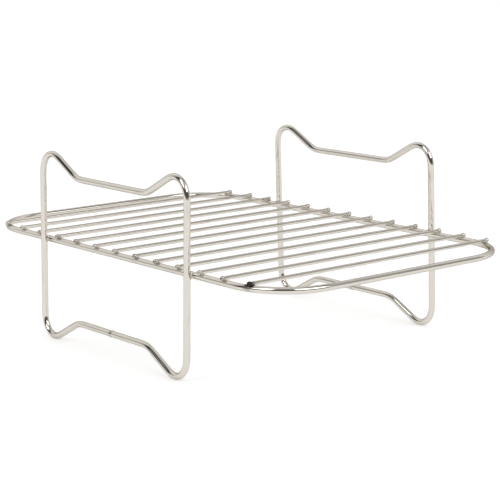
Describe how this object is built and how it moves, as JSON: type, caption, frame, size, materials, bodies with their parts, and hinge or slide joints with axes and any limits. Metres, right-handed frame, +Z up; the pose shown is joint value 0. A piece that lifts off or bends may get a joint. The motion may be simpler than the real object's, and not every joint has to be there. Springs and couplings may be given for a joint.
{
  "type": "air fryer rack",
  "caption": "Wire rack for an air fryer drawer: a shelf of round cross bars on a closed rim wire, held by closed wire leg frames with a dip in the top, on rounded feet.",
  "frame": {"origin": "on the surface that the rack stands on, below the middle of the shelf", "axes": "+X along the rim's long side, +Y along the cross bars from the front leg frame to the rear one, +Z up"},
  "size_m": [0.23, 0.1516, 0.09],
  "materials": {
    "rim_wire": "bright polished stainless wire",
    "leg_wire": "bright polished stainless wire",
    "bar_wire": "bright polished stainless wire",
    "weld_bead": "uneven weld metal, polished over"
  },
  "bodies": {
    "root": {"rim": "rim_wire", "front_leg_frame": "leg_wire", "rear_leg_frame": "leg_wire", "cross_bar_01": "bar_wire", "cross_bar_02": "bar_wire", "cross_bar_03": "bar_wire", "cross_bar_04": "bar_wire", "cross_bar_05": "bar_wire", "cross_bar_06": "bar_wire", "cross_bar_07": "bar_wire", "cross_bar_08": "bar_wire", "cross_bar_09": "bar_wire", "cross_bar_10": "bar_wire", "cross_bar_11": "bar_wire", "cross_bar_12": "bar_wire", "cross_bar_13": "bar_wire", "weld_front_left": "weld_bead", "weld_front_right": "weld_bead", "weld_rear_left": "weld_bead", "weld_rear_right": "weld_bead"}
  },
  "joints": []
}
